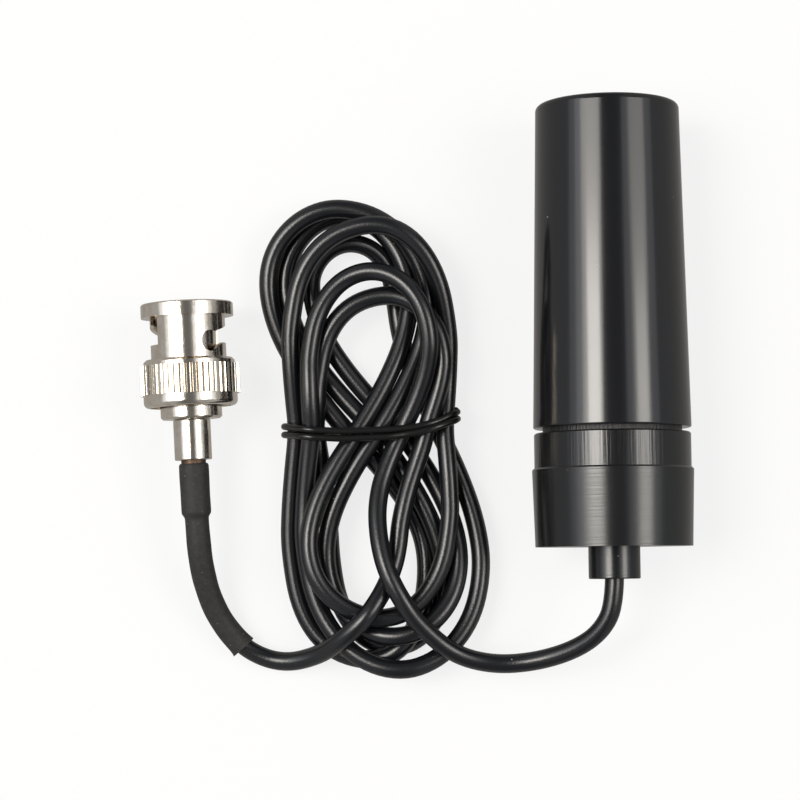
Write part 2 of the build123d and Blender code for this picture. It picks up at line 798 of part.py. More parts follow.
# Hank: one closed form round all its turns, narrow under the tie
hank_outline_shares = [
    (-0.495, 0.326),
    (-0.462, 0.410),
    (-0.325, 0.478),
    (-0.143, 0.500),
    (0.129, 0.470),
    (0.307, 0.370),
    (0.386, 0.248),
    (0.392, 0.019),
    (0.423, -0.085),
    (0.500, -0.221),
    (0.488, -0.334),
    (0.414, -0.417),
    (0.286, -0.474),
    (0.102, -0.500),
    (-0.118, -0.472),
    (-0.297, -0.413),
    (-0.385, -0.309),
    (-0.415, -0.216),
    (-0.399, -0.102),
    (-0.406, 0.023),
    (-0.430, 0.148),
    (-0.479, 0.232),
]
hank_floor = tie_section + tie_gap
hank_waist_left = hank_centre[0] - waist_left_share * hank_width + tie_gap
hank_waist_right = hank_centre[0] + waist_right_share * hank_width - tie_gap
hank_waist_top = tie_clear_height
tie_band = tie_pitch + tie_section + 2 * tie_gap
with BuildPart() as cord_hank:
    with BuildSketch(Plane.XY):
        with BuildLine():
            Spline(
                *[
                    (hank_centre[0] + x * hank_width, hank_centre[1] + y * hank_length)
                    for x, y in hank_outline_shares
                ],
                periodic=True,
            )
        make_face()
    extrude(amount=hank_height)
    fillet(cord_hank.edges().group_by(Axis.Z)[-1], hank_edge_radius)
    fillet(cord_hank.edges().group_by(Axis.Z)[0], hank_foot_radius)
    with BuildSketch(Plane.XZ.offset(-tie_place - tie_band / 2)) as waist:
        with Locations((hank_centre[0], hank_height / 2)):
            Rectangle(hank_width + overrun, hank_height + overrun)
        with Locations(
            ((hank_waist_left + hank_waist_right) / 2, (hank_floor + hank_waist_top) / 2)
        ):
            RectangleRounded(
                hank_waist_right - hank_waist_left,
                hank_waist_top - hank_floor,
                tie_section,
                mode=Mode.SUBTRACT,
            )
    extrude(amount=tie_band, mode=Mode.SUBTRACT)
cord_hank.part.label = "cord_hank"

# Tie: a round strand wound twice about the waist of the hank, whose turns join at one side
tie_offset = tie_gap / 2 + tie_section / 2
tie_left = hank_waist_left - tie_offset
tie_right = hank_waist_right + tie_offset
tie_low = hank_floor - tie_offset
tie_high = hank_waist_top + tie_offset
tie_middle = (tie_left + tie_right) / 2
tie_half_way = (tie_low + tie_high) / 2
tie_bridge = tie_section * bridge_share
with BuildPart() as cable_tie:
    for turn_place in (tie_place - tie_pitch / 2, tie_place + tie_pitch / 2):
        with BuildSketch(Plane.XZ.offset(-turn_place), mode=Mode.PRIVATE) as turn:
            with Locations((tie_middle, tie_half_way)):
                RectangleRounded(tie_right - tie_left, tie_high - tie_low, tie_bend_radius)
        turn_line = turn.sketch.face().outer_wire()
        with BuildSketch(Plane(turn_line @ 0, z_dir=turn_line % 0)):
            Circle(tie_section / 2)
        sweep(path=turn_line)
    with BuildSketch(Plane.XZ.offset(-tie_place - tie_pitch / 2)):
        with Locations((tie_right, tie_half_way)):
            Circle(tie_bridge / 2)
    extrude(amount=tie_pitch)
cable_tie.part.label = "cable_tie"


def corner_radii(points):
    """Radius of the arc at each corner: as large as the shorter of its two runs allows."""
    radii = []
    for before, at, after in zip(points, points[1:], points[2:]):
        first = Vector(at) - Vector(before)
        second = Vector(after) - Vector(at)
        half_turn = radians(first.get_angle(second)) / 2
        radii.append(arc_share * min(first.length, second.length) / tan(half_turn))
    return radii


def cord_tube(label, points):
    """Tube of the cord along straight runs and tangent arcs, trimmed where it enters the hank."""
    radii = corner_radii(points)
    with BuildPart() as tube:
        with BuildLine() as path:
            FilletPolyline(*points, radius=radii)
        route = path.wire()
        with BuildSketch(Plane(route @ 0, z_dir=route % 0)):
            Circle(cord_diameter / 2)
        sweep(path=route)
        whole = pi * cord_diameter ** 2 / 4 * route.length
        print(label, "radii", [round(r, 1) for r in radii], "length", round(route.length, 1))
        print(label, "volume against section times length", round(tube.part.volume / whole, 4))
        add(cord_hank.part, mode=Mode.SUBTRACT)
    tube.part.label = label
    return tube, route


probe_cord_points = [
    probe_axis.position + probe_direction * cord_start_y,
    probe_axis.position + probe_direction * (boss_end_y - probe_tail_reach),
    *probe_tail_route,
]
probe_cord, probe_cord_line = cord_tube("probe_cord", probe_cord_points)

plug_cord_points = [
    plug_origin - plug_direction * plug_cord_start,
    plug_origin - plug_direction * (plug_cord_start + plug_tail_reach),
    *plug_tail_route,
]
plug_cord, plug_cord_line = cord_tube("plug_cord", plug_cord_points)

# Shrunk sleeve: thick over the crimp, then thin along the cord to its cut end
shrink_start = braid_end + fit_gap
shrink_line = plug_cord_line.trim(
    (shrink_start - plug_cord_start) / plug_cord_line.length, shrink_end_share
)
with BuildPart() as shrink_sleeve:
    with BuildSketch(plug_station(shrink_start)):
        Circle(shrink_thick_diameter / 2)
        Circle(cord_diameter / 2 + shrink_bore_gap, mode=Mode.SUBTRACT)
    extrude(amount=shrink_thick_length)
    with BuildSketch(Plane(shrink_line @ 0, z_dir=shrink_line % 0)):
        Circle(shrink_diameter / 2)
        Circle(cord_diameter / 2 + shrink_bore_gap, mode=Mode.SUBTRACT)
    sweep(path=shrink_line)
shrink_sleeve.part.label = "shrink_sleeve"

pieces = [
    storage_cap, storage_sponge, electrode_barrel, cap_seal_ring, glass_bulb, inner_wire,
    stem_bung, reference_junction, reference_wire, reference_gel, gel_seal, rear_collar,
    rear_potting, coupling_sleeve, retaining_ring, thrust_washer, bowed_spring, plug_body,
    face_gasket, plug_insulator, centre_pin, cord_core, shield_braid, crimp_ferrule,
    shrink_sleeve, cord_hank, cable_tie, probe_cord, plug_cord,
]
os.makedirs("parts", exist_ok=True)
for piece in pieces:
    export_step(piece.part, f"parts/{piece.part.label}.step")
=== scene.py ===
import logging
import math
from dataclasses import dataclass
from enum import Enum

import bpy
import numpy as np
from mathutils import Matrix, Vector


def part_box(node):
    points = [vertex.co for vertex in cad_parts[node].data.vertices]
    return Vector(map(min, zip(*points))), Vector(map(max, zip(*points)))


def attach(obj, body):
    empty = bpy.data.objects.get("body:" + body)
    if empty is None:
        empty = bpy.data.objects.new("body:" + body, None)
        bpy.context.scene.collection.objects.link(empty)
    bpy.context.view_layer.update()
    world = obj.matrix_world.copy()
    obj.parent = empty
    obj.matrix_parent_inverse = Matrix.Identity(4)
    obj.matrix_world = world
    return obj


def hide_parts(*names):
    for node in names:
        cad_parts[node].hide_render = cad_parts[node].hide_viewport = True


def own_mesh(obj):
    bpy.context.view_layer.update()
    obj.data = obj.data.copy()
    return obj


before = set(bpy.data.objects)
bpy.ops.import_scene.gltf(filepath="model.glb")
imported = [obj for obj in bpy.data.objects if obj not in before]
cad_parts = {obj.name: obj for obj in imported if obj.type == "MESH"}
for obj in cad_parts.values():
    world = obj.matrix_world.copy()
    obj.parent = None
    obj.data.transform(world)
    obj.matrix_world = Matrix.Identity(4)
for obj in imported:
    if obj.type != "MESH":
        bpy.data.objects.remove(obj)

# pH electrode on a white floor: probe with its storage cap on, hanked cord and bayonet plug.
# Metres, in the frame of the CAD model. Data noted in millimetres is multiplied by MM.

LOG = logging.getLogger("electrode")
MM = 0.001
WHITE = (1.0, 1.0, 1.0)
SHARP_ANGLE = math.radians(50)


class Value:
    """A number socket of a finish. Plain arithmetic on it adds Math nodes."""

    def __init__(self, bench: "Bench", socket: bpy.types.NodeSocket) -> None:
        """Wraps one output socket of the bench's node tree."""
        self.bench = bench
        self.socket = socket

    def _math(self, operation: str, first: "Value | float", second: "Value | float") -> "Value":
        """Adds one Math node.

        Args:
            operation: Blender's name of the operation.
            first: left term.
            second: right term.

        Returns:
            The node's result.
        """
        return self.bench.node("ShaderNodeMath", {"operation": operation}, {0: first, 1: second})

    def __add__(self, other: "Value | float") -> "Value":
        """Sum."""
        return self._math("ADD", self, other)

    def __sub__(self, other: "Value | float") -> "Value":
        """Difference."""
        return self._math("SUBTRACT", self, other)

    def __rsub__(self, other: "Value | float") -> "Value":
        """Difference with this value on the right."""
        return self._math("SUBTRACT", other, self)

    def __mul__(self, other: "Value | float") -> "Value":
        """Product."""
        return self._math("MULTIPLY", self, other)

    __radd__ = __add__
    __rmul__ = __mul__

    def root(self) -> "Value":
        """Square root."""
        return self._math("POWER", self, 0.5)

    def step(self, low: float, high: float, start: float = 0.0, end: float = 1.0) -> "Value":
        """Smooth step of the value.

        Args:
            low: value at which the step begins.
            high: value at which it is done.
            start: result below low.
            end: result above high.

        Returns:
            The stepped value.
        """
        return self.bench.node(
            "ShaderNodeMapRange",
            {"interpolation_type": "SMOOTHSTEP"},
            {"Value": self, "From Min": low, "From Max": high, "To Min": start, "To Max": end},
        )


class Bench:
    """The node tree of one material or world, and the few ways in which nodes are added to it."""

    def __init__(self, owner: bpy.types.Material | bpy.types.World) -> None:
        """Starts an empty tree.

        Args:
            owner: the material or world that the tree is for.
        """
        self.owner = owner
        owner.use_nodes = True
        self.tree = owner.node_tree
        self.tree.nodes.clear()

    def node(self, kind: str, settings: dict | None = None, values: dict | None = None,
             output: int | str = 0) -> Value:
        """Adds one node.

        Args:
            kind: Blender's type name of the node.
            settings: attributes of the node, set before its sockets.
            values: value or Value of each input, by index or name.
            output: which output is wanted.

        Returns:
            The output as a Value.
        """
        made = self.tree.nodes.new(kind)
        for key, setting in (settings or {}).items():
            setattr(made, key, setting)
        for key, value in (values or {}).items():
            if isinstance(value, Value):
                self.tree.links.new(value.socket, made.inputs[key])
            elif hasattr(value, "__len__") and made.inputs[key].type == "RGBA":
                made.inputs[key].default_value = (*value[:3], 1.0)
            else:
                made.inputs[key].default_value = value
        return Value(self, made.outputs[output])

    def colour_mix(self, mask: Value, under: tuple | Value, over: tuple | Value) -> Value:
        """Mixes two colours.

        Args:
            mask: 0 gives the first colour and 1 the second.
            under: first colour.
            over: second colour.

        Returns:
            The mixed colour.
        """
        return self.node("ShaderNodeMix", {"data_type": "RGBA"}, {0: mask, 6: under, 7: over}, 2)

    def place(self, centre: tuple, turn: tuple, stretch: tuple = (1.0, 1.0, 1.0)) -> Value:
        """Object coordinates about a piece's own centre and axis.

        Args:
            centre: centre of the pattern in metres.
            turn: turn of the piece's axes in radians.
            stretch: how much larger the pattern is along each axis.

        Returns:
            The centred, turned coordinates.
        """
        source = self.node("ShaderNodeTexCoord", output="Object")
        return self.node("ShaderNodeMapping", {"vector_type": "TEXTURE"},
                         {"Vector": source, "Location": centre, "Rotation": turn, "Scale": stretch})

    def noise(self, where: Value, scale: float, detail: float = 2.0) -> Value:
        """Smooth noise from 0 to 1.

        Args:
            where: coordinates.
            scale: lumps to the metre.
            detail: how many finer layers are added.

        Returns:
            The noise.
        """
        return self.node("ShaderNodeTexNoise", None,
                         {"Vector": where, "Scale": scale, "Detail": detail})

    def cells(self, where: Value, scale: float) -> Value:
        """Distance from the nearest of scattered points, so many to the metre."""
        return self.node("ShaderNodeTexVoronoi", None, {"Vector": where, "Scale": scale})

    def finish(self, shader: Value, kind: str = "ShaderNodeOutputMaterial") -> None:
        """Ends the tree with that shader in an output node of that kind."""
        end = self.tree.nodes.new(kind)
        self.tree.links.new(shader.socket, end.inputs["Surface"])


class Pattern(Enum):
    """How the fine relief of a finish runs: its frequency along each axis of the piece."""

    EVEN = (1.0, 1.0, 1.0)
    AXIAL = (1.0, 0.02, 1.0)
    TURNED = (0.004, 1.0, 0.004)


@dataclass(frozen=True)
class Finish:
    """One surface finish: its colour, gloss, relief, mottling and specks.

    Scales are in lumps or points to the metre, depths and places in metres, and a speck's size
    is a share of the specks' spacing. haze is how far the roughness varies. The valley sizes
    bound the low places of a knurl or neck, whose colour is painted darker there as painted
    shade.
    """

    name: str
    colour: tuple
    roughness: float
    metallic: float = 0.0
    ior: float = 1.5
    clear: float = 0.0
    centre: tuple = (0.0, 0.0, 0.0)
    turn: tuple = (0.0, 0.0, 0.0)
    pattern: Pattern = Pattern.EVEN
    relief_scale: float = 4000.0
    relief: float = 0.15
    relief_depth: float = 0.00002
    pores: float = 0.0
    pore_scale: float = 1500.0
    mottle_colour: tuple | None = None
    mottle_scale: float = 150.0
    mottle: float = 0.5
    haze: float = 0.06
    speck_colour: tuple = (0.30, 0.29, 0.27)
    speck_scale: float = 320.0
    speck_size: float = 0.045
    speck_share: float = 0.35
    valley_radius: float = 0.0
    valley_from: float = 0.0
    valley_to: float = 0.0
    # Colour of the painted shade in the low places of a knurl or neck.
    valley_shade_colour: tuple = (0.10, 0.08, 0.06)

    PATCH = (0.38, 0.66)
    FINE_DETAIL = 3.0
    GROUP_SCALE = 0.6
    GROUP = (0.62, 0.70)
    GROUP_SPREAD = 0.3
    SPECK_CORE = 0.5
    SPECK_DULLNESS = 0.25
    SPECK_HEIGHT = 0.4
    PORE = (0.1, 0.55)
    PORE_COVER = 0.8
    PORE_SHADE = 0.35
    WALL_RELIEF = 0.3
    VALLEY_DEPTH = (0.35 * MM, 0.05 * MM)
    VALLEY_EDGE = 0.05 * MM
    VALLEY_SHADE_COVER = 0.85
    VALLEY_DULLNESS = 0.25
    VALLEY_RELIEF = 5.0

    def valleys(self, bench: Bench, where: Value) -> Value:
        """Mask of the low places between the ribs of a knurl, or of a neck, where painted shade
        darkens the colour.

        It is the product of three steps: nearer to the axis than the crests, behind the front
        of the stretch and before its rear.

        Args:
            bench: the tree.
            where: coordinates about the axis.

        Returns:
            1 in the low places and 0 elsewhere.
        """
        x, y, z = (bench.node("ShaderNodeSeparateXYZ", None, {0: where}, k) for k in range(3))
        low, high = (self.valley_radius - depth for depth in self.VALLEY_DEPTH)
        deep = 1 - (x * x + z * z).root().step(low, high)
        behind = y.step(self.valley_from, self.valley_from + self.VALLEY_EDGE)
        before = 1 - y.step(self.valley_to - self.VALLEY_EDGE, self.valley_to)
        return deep * behind * before

    def specks(self, bench: Bench, where: Value) -> Value:
        """Mask of small specks in loose groups.

        It is a step down of the distance to scattered points, times a step of a smooth noise.

        Args:
            bench: the tree.
            where: coordinates.

        Returns:
            1 in the specks and 0 elsewhere.
        """
        apart = bench.cells(where, self.speck_scale)
        spots = 1 - apart.step(self.speck_size * self.SPECK_CORE, self.speck_size)
        group = bench.noise(where, self.speck_scale * self.GROUP_SCALE, 0.0)
        low = self.GROUP[0] - self.speck_share * self.GROUP_SPREAD
        return spots * group.step(low, self.GROUP[1])

    def build(self) -> bpy.types.Material:
        """Makes the material.

        Colour, roughness and height start from smooth noise. Specks, then pores and low places
        where the finish has them, are laid over all three; pores and low places darken the colour
        as painted shade.

        Returns:
            The finished material.
        """
        bench = Bench(bpy.data.materials.new(self.name))
        where = bench.place(self.centre, self.turn)
        haze = bench.noise(where, self.mottle_scale)
        patch = haze.step(*self.PATCH)
        second = self.mottle_colour or self.colour
        colour = bench.colour_mix(patch * self.mottle, self.colour, second)
        specks = self.specks(bench, where)
        colour = bench.colour_mix(specks, colour, self.speck_colour)
        roughness = (haze - 0.5) * self.haze + specks * self.SPECK_DULLNESS + self.roughness
        along = bench.place(self.centre, self.turn, tuple(1 / s for s in self.pattern.value))
        height = bench.noise(along, self.relief_scale, self.FINE_DETAIL)
        if self.pores:
            holes = 1 - bench.cells(where, self.pore_scale).step(*self.PORE)
            height = height * self.WALL_RELIEF - holes * self.pores
            # Painted shade: the pores are painted darker than the surface round them.
            shade = tuple(c * self.PORE_SHADE for c in self.colour)
            colour = bench.colour_mix(holes * self.PORE_COVER, colour, shade)
        if self.valley_radius:
            low = self.valleys(bench, where)
            # Painted shade: the low places of a knurl or neck are painted darker.
            colour = bench.colour_mix(low * self.VALLEY_SHADE_COVER, colour, self.valley_shade_colour)
            roughness = roughness + low * self.VALLEY_DULLNESS
            height = height * (low * self.VALLEY_RELIEF + 1)
        height = height + specks * self.SPECK_HEIGHT
        bump = bench.node(
            "ShaderNodeBump", None,
            {"Strength": self.relief, "Distance": self.relief_depth, "Height": height})
        bench.finish(bench.node(
            "ShaderNodeBsdfPrincipled", None,
            {"Base Color": colour, "Roughness": roughness, "Metallic": self.metallic,
             "IOR": self.ior, "Transmission Weight": self.clear, "Normal": bump}))
        return bench.owner


PROBE_TURN = (math.radians(-1.353), 0.0, 0.0)
PROBE_CENTRE = (0.0, 0.0, 0.01103)
PLUG_TURN = (0.0, 0.0, math.radians(2.23))
PLUG_CENTRE = (-0.0612, 0.0063, 0.00725)

FINISHES = {
    "cap_plastic": Finish("cap_black", (0.0062, 0.0066, 0.0078), 0.15, ior=1.58,
                          centre=PROBE_CENTRE, turn=PROBE_TURN, pattern=Pattern.AXIAL,
                          relief_scale=1800.0, relief=0.12, relief_depth=0.00003,
                          speck_scale=260.0, haze=0.05),
    # The neck's gap is painted near-black as painted shade.
    "barrel_plastic": Finish("barrel_black", (0.0062, 0.0066, 0.0075), 0.19, ior=1.55,
                             centre=PROBE_CENTRE, turn=PROBE_TURN, pattern=Pattern.AXIAL,
                             relief_scale=2600.0, relief=0.55, relief_depth=0.00007,
                             speck_scale=420.0, speck_size=0.07, valley_radius=0.0112,
                             valley_from=-0.0138, valley_to=-0.0121,
                             valley_shade_colour=(0.004, 0.004, 0.004)),
    "collar_plastic": Finish("collar_black", (0.0062, 0.0068, 0.0075), 0.21, ior=1.55,
                             centre=PROBE_CENTRE, turn=PROBE_TURN, pattern=Pattern.TURNED,
                             relief_scale=4200.0, relief=0.45, relief_depth=0.00005,
                             speck_scale=420.0, speck_size=0.06),
    "cord_jacket": Finish("cord_black", (0.0066, 0.0072, 0.0088), 0.25, ior=1.56,
                          relief_scale=4200.0, relief=0.5, relief_depth=0.00003,
                          speck_scale=420.0, speck_size=0.05),
    "shrink_tube": Finish("shrunk_charcoal", (0.021, 0.020, 0.0195), 0.62, ior=1.42,
                          relief_scale=3600.0, relief=0.7, relief_depth=0.00008,
                          mottle_colour=(0.036, 0.033, 0.031), mottle_scale=1300.0,
                          speck_scale=1300.0, speck_size=0.15, speck_share=0.9,
                          speck_colour=(0.22, 0.20, 0.18)),
    "tie_rubber": Finish("tie_black", (0.006, 0.006, 0.006), 0.22, relief_scale=2500.0,
                         relief=0.3, relief_depth=0.00004),
    "seal_rubber": Finish("seal_black", (0.014, 0.014, 0.014), 0.55),
    "gasket_rubber": Finish("gasket_rubber", (0.30, 0.035, 0.02), 0.5,
                            mottle_colour=(0.22, 0.03, 0.02)),
    "sponge": Finish("wet_foam", (0.62, 0.52, 0.26), 0.75, pores=1.0, pore_scale=1300.0,
                     relief=1.0, relief_depth=0.0004),
    "glass": Finish("blown_glass", (0.96, 0.98, 0.98), 0.03, ior=1.47, clear=1.0, haze=0.02,
                    relief=0.02, speck_share=0.0),
    "gel": Finish("reference_gel", (0.80, 0.86, 0.86), 0.12, ior=1.34, clear=0.8, haze=0.08),
    "porous_white": Finish("fired_white", (0.78, 0.76, 0.71), 0.8, pores=0.5, pore_scale=3500.0,
                           relief=0.8, relief_depth=0.00008),
    "potting": Finish("cast_resin", (0.018, 0.018, 0.017), 0.30, relief_scale=900.0),
    # The knurl's valleys are painted darker as painted shade.
    "nickel_plate": Finish("nickel_bright", (0.78, 0.72, 0.635), 0.13, metallic=1.0,
                           centre=PLUG_CENTRE, turn=PLUG_TURN, relief_scale=5600.0, relief=0.3,
                           relief_depth=0.00003, mottle_colour=(0.60, 0.54, 0.45),
                           mottle_scale=700.0, haze=0.12, speck_colour=(0.08, 0.065, 0.05),
                           speck_scale=1700.0, speck_size=0.17, speck_share=0.9,
                           valley_radius=0.00725, valley_from=-0.01327, valley_to=-0.00898),
    "spring_steel": Finish("spring_bright", (0.56, 0.55, 0.53), 0.25, metallic=1.0,
                           pattern=Pattern.TURNED, relief=0.3),
    "gold_plate": Finish("gold_bright", (0.90, 0.66, 0.30), 0.18, metallic=1.0,
                         centre=PLUG_CENTRE, turn=PLUG_TURN, pattern=Pattern.TURNED),
    "silver_wire": Finish("silver_dull", (0.62, 0.61, 0.60), 0.32, metallic=1.0,
                          mottle_colour=(0.24, 0.20, 0.22), mottle_scale=900.0),
    "copper_braid": Finish("tinned_braid", (0.15, 0.10, 0.07), 0.45, metallic=1.0,
                           centre=PLUG_CENTRE, turn=PLUG_TURN, relief_scale=5200.0, relief=0.8,
                           relief_depth=0.0001, mottle_colour=(0.07, 0.05, 0.035),
                           mottle_scale=1600.0),
    "insulator_white": Finish("moulded_white", (0.80, 0.79, 0.76), 0.42, centre=PLUG_CENTRE,
                              turn=PLUG_TURN, pattern=Pattern.TURNED, relief=0.2),
}


class Shop:
    """Keeps each finish made once, and puts them on pieces."""

    def __init__(self) -> None:
        """Starts with no material made."""
        self.made: dict[str, bpy.types.Material] = {}

    def material(self, slot: str) -> bpy.types.Material:
        """Gives a slot's material, made at its first call.

        Args:
            slot: name of the material slot in the record.

        Returns:
            The material.
        """
        if slot not in self.made:
            self.made[slot] = FINISHES[slot].build()
        return self.made[slot]

    def dress(self, piece: bpy.types.Object, slot: str) -> None:
        """Puts the slot's material on a CAD node or a new piece.

        Args:
            piece: the object.
            slot: name of the material slot in the record.
        """
        material = self.material(slot)
        if not piece.material_slots:
            piece.data.materials.append(material)
        for place in piece.material_slots:
            place.material = material


def swept(path: np.ndarray, radii: np.ndarray, up: tuple, sides: int) -> np.ndarray:
    """Grid of points of a round section carried along a path.

    A point is the path's point plus its radius times (cosine of the angle along the side
    direction plus sine of the angle along the upper one). The side direction is the tangent
    crossed with the given up, and the upper one is the side crossed with the tangent.

    Args:
        path: points of the centreline, one row each.
        radii: radius at each point, or at each point and angle.
        up: direction that no stretch of the path runs along.
        sides: number of points round the section.

    Returns:
        Array of rows, columns and coordinates.
    """
    tangent = np.gradient(path, axis=0)
    tangent /= np.linalg.norm(tangent, axis=1)[:, None]
    side = np.cross(tangent, np.array(up, float))
    side /= np.linalg.norm(side, axis=1)[:, None]
    upper = np.cross(side, tangent)
    angle = np.linspace(0.0, 2 * np.pi, sides, endpoint=False)[None, :, None]
    ring = np.cos(angle) * side[:, None, :] + np.sin(angle) * upper[:, None, :]
    return path[:, None, :] + np.asarray(radii, float).reshape(len(path), -1, 1) * ring


def grid_piece(name: str, grid: np.ndarray, closed_rows: bool = False) -> bpy.types.Object:
    """Makes a smooth closed piece from a grid whose columns run round a section.

    Each face joins a point, the next round the section and the two of the next row. The rows
    join the last to the first, or each end is closed by one face.

    Args:
        name: the piece's name.
        grid: array of rows, columns and coordinates.
        closed_rows: whether the last row joins the first.

    Returns:
        The new object, at the origin.
    """
    rows, columns = grid.shape[:2]
    number = np.arange(rows * columns).reshape(rows, columns)
    ahead = np.roll(number, -1, axis=0)
    here = number if closed_rows else number[:-1]
    ahead = ahead if closed_rows else ahead[:-1]
    quads = np.stack([here, np.roll(here, -1, 1), np.roll(ahead, -1, 1), ahead], -1).reshape(-1, 4)
    points = grid.reshape(-1, 3)
    a, b, c, d = (points[quads[:, k]] for k in range(4))
    volume = (np.cross(a, b) * c + np.cross(a, c) * d).sum()
    faces = (quads if volume > 0 else quads[:, ::-1]).tolist()
    if not closed_rows:
        first, last = number[0].tolist(), number[-1].tolist()
        faces += [first[::-1], last] if volume > 0 else [first, last[::-1]]
    mesh = bpy.data.meshes.new(name)
    mesh.from_pydata(points.tolist(), [], faces)
    mesh.polygons.foreach_set("use_smooth", np.ones(len(mesh.polygons), bool))
    mesh.set_sharp_from_angle(angle=SHARP_ANGLE)
    mesh.update()
    piece = bpy.data.objects.new(name, mesh)
    bpy.context.scene.collection.objects.link(piece)
    return piece


def resample(points: np.ndarray, step: float) -> np.ndarray:
    """Points at even steps of arc length along a line of points.

    Args:
        points: the line.
        step: distance wanted between neighbours.

    Returns:
        The new points.
    """
    run = np.r_[0.0, np.cumsum(np.linalg.norm(np.diff(points, axis=0), axis=1))]
    at = np.linspace(0.0, run[-1], max(2, int(round(run[-1] / step)) + 1))
    return np.stack([np.interp(at, run, points[:, k]) for k in range(points.shape[1])], -1)


@dataclass(frozen=True)
class Bight:
    """One bight of the hank, from the tie out round its tip and back to the tie (millimetres).

    LEG holds shares of a leg's way out and ARC degrees of the turn at which the control points
    stand. FULL is how far they lie outside the line that they make.
    """

    tie_in: float
    side_in: tuple
    tip: tuple
    side_out: tuple
    tie_out: float
    heights: tuple
    ease: tuple = (1.0, 1.0)
    square: tuple = (1.0, 1.0)

    LEG = (0.0, 0.33, 0.67)
    ARC = (0.0, 30.0, 60.0, 90.0)
    FULL = 1.035

    def leg(self, tie: float, side: tuple, ease: float, tie_line: float) -> np.ndarray:
        """Control points of one leg.

        Along the leg y runs evenly from the tie to the side, and x by a sine that starts out
        slanting, mixed with an S that starts straight.

        Args:
            tie: x at the tie.
            side: the widest point of that side.
            ease: share of the slanting start.
            tie_line: y of the tie.

        Returns:
            Points from the tie outwards, without the side itself.
        """
        k = np.array(self.LEG)
        wide = self.tip[0] + (side[0] - self.tip[0]) * self.FULL
        bend = ease * np.sin(np.pi * k / 2) + (1 - ease) * (1 - np.cos(np.pi * k)) / 2
        return np.stack([tie + (wide - tie) * bend, tie_line + (side[1] - tie_line) * k], -1)

    def arc(self, side: tuple, square: float) -> np.ndarray:
        """Control points of a quarter of an ellipse from a side to the tip.

        x and y follow the cosine and sine of the angle, each to the power of squareness.

        Args:
            side: the widest point of that side.
            square: power, under 1 for a fuller corner.

        Returns:
            Points from the side to the tip.
        """
        g = np.radians(self.ARC)
        x = self.tip[0] + (side[0] - self.tip[0]) * self.FULL * np.clip(np.cos(g), 0, 1) ** square
        y = side[1] + (self.tip[1] - side[1]) * self.FULL * np.sin(g) ** square
        return np.stack([x, y], -1)

    def points(self, tie_line: float) -> np.ndarray:
        """Control points of the whole bight.

        Args:
            tie_line: y of the tie.

        Returns:
            Twelve points, in millimetres.
        """
        flat = np.vstack([
            self.leg(self.tie_in, self.side_in, self.ease[0], tie_line),
            self.arc(self.side_in, self.square[0]),
            self.arc(self.side_out, self.square[1])[::-1][1:],
            self.leg(self.tie_out, self.side_out, self.ease[1], tie_line)[:0:-1],
        ])
        return np.c_[flat, np.array(self.heights)]


